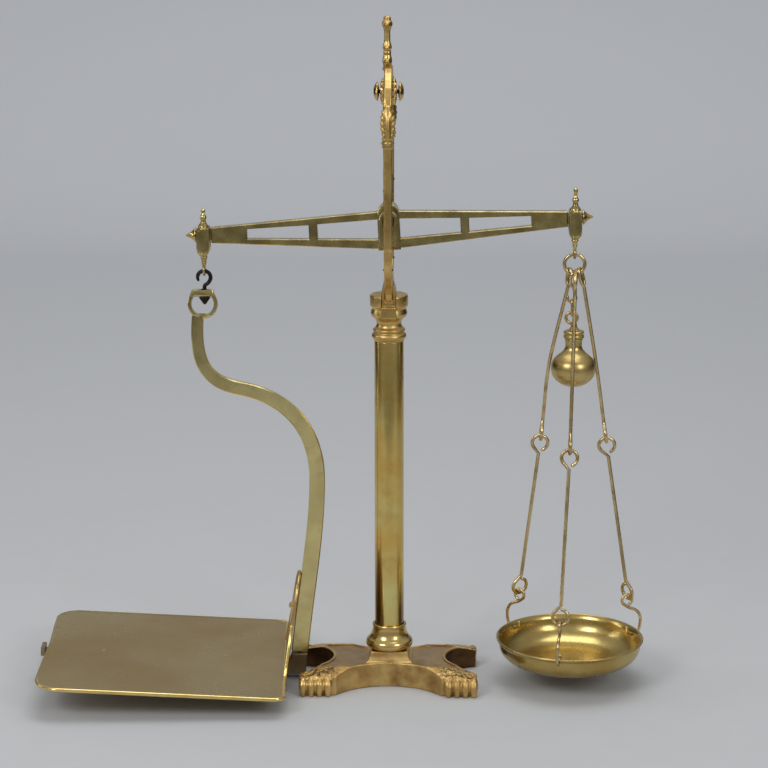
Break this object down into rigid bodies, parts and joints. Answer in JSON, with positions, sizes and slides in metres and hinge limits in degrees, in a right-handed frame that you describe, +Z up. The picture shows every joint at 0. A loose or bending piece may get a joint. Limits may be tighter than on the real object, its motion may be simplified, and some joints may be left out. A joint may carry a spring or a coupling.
{
  "type": "brass counter scale",
  "caption": "Brass balance scale: a tilted beam in a loop frame on a column, with a flat goods plate on a curved arm at one end and a hanging weights pan at the other.",
  "frame": {"origin": "on the table, on the axis of the column, at the middle of the underside of the base", "axes": "+X towards the weights pan, +Y away from the front, +Z up"},
  "size_m": [0.5923, 0.2429, 0.6488],
  "materials": {
    "cast_brass": "satin cast, softly worn",
    "polished_brass": "polished",
    "beam_brass": "filed and brushed",
    "wire_brass": "drawn wire",
    "plate_brass": "satin brushed",
    "steel": "ground",
    "blackened_iron": "blackened",
    "lead": "dull"
  },
  "bodies": {
    "stand": {"base_casting": "cast_brass", "base_collar": "polished_brass", "column_tube": "polished_brass", "tie_rod": "steel", "capital": "cast_brass", "tie_rod_nut": "steel", "foot_screw_left": "steel", "foot_screw_right": "steel", "beam_frame": "cast_brass", "front_bearing": "beam_brass", "rear_bearing": "beam_brass", "front_upper_pin": "blackened_iron", "front_lower_pin": "blackened_iron", "rear_upper_pin": "blackened_iron", "rear_lower_pin": "blackened_iron", "crest_bolt": "blackened_iron", "crest_knob_left": "polished_brass", "crest_knob_right": "polished_brass"},
    "beam": {"beam": "beam_brass", "centre_knife_edge": "steel", "pointer": "steel", "left_knife_edge": "steel", "right_knife_edge": "steel", "left_tip_finial": "polished_brass", "right_tip_finial": "polished_brass"},
    "left_box": {"left_box_end": "beam_brass", "left_front_seat": "steel", "left_rear_seat": "steel"},
    "right_box": {"right_box_end": "beam_brass", "right_front_seat": "steel", "right_rear_seat": "steel"},
    "hook": {"iron_hook": "blackened_iron"},
    "goods": {"goods_arm": "beam_brass", "goods_plate": "plate_brass", "plate_bar": "beam_brass", "bar_rivet_inner": "polished_brass", "bar_rivet_outer": "polished_brass", "upstand_screw": "blackened_iron"},
    "ring": {"hanging_ring": "wire_brass"},
    "hanger": {"upper_link_left": "wire_brass", "upper_link_front": "wire_brass", "upper_link_right": "wire_brass", "lower_link_left": "wire_brass", "lower_link_front": "wire_brass", "lower_link_right": "wire_brass", "pan_hook_left": "wire_brass", "pan_hook_front": "wire_brass", "pan_hook_right": "wire_brass", "weights_pan": "polished_brass", "ball_hook": "wire_brass", "ball_link": "wire_brass"},
    "ball_lid": {"tare_ball_lid": "polished_brass"},
    "ball": {"tare_ball": "polished_brass", "lead_shot": "lead"}
  },
  "joints": [
    {"name": "beam_rock", "type": "hinge", "parent": "stand", "child": "beam", "pos_m": [0, 0, 0.4525], "axis": [0, 1, 0], "range_deg": [-1.4, 3.5]},
    {"name": "left_box_swing", "type": "hinge", "parent": "beam", "child": "left_box", "pos_m": [-0.17579, 0, 0.4439], "axis": [0, 1, 0], "range_deg": [-3.6, 1.6]},
    {"name": "right_box_swing", "type": "hinge", "parent": "beam", "child": "right_box", "pos_m": [0.17579, 0, 0.4611], "axis": [0, 1, 0], "range_deg": [-3.6, 1.6]},
    {"name": "hook_swing", "type": "hinge", "parent": "left_box", "child": "hook", "pos_m": [-0.17579, 0, 0.408], "axis": [1, 0, 0], "range_deg": [-1.4, 1.4]},
    {"name": "arm_swivel", "type": "hinge", "parent": "hook", "child": "goods", "pos_m": [-0.17579, 0, 0.3831], "axis": [0, 0, 1], "range_deg": [-8.5, 3]},
    {"name": "ring_swing", "type": "hinge", "parent": "right_box", "child": "ring", "pos_m": [0.17579, 0, 0.4249], "axis": [1, 0, 0], "range_deg": [-4, 4]},
    {"name": "hanger_swing", "type": "hinge", "parent": "ring", "child": "hanger", "pos_m": [0.17579, 0, 0.4077], "axis": [1, 0, 0], "range_deg": [-3, 3]},
    {"name": "lid_turn", "type": "hinge", "parent": "hanger", "child": "ball_lid", "pos_m": [0.1738, 0.0006, 0.3636], "axis": [0, 0, 1], "range_deg": [-12, 12]},
    {"name": "ball_unscrew", "type": "hinge", "parent": "ball_lid", "child": "ball", "pos_m": [0.1762, 0.0006, 0.3443], "axis": [0, 0, 1], "range_deg": [0, 720]}
  ],
  "couplings": [
    {"joint": "left_box_swing", "follows": "beam_rock", "ratio": -1},
    {"joint": "right_box_swing", "follows": "beam_rock", "ratio": -1}
  ]
}
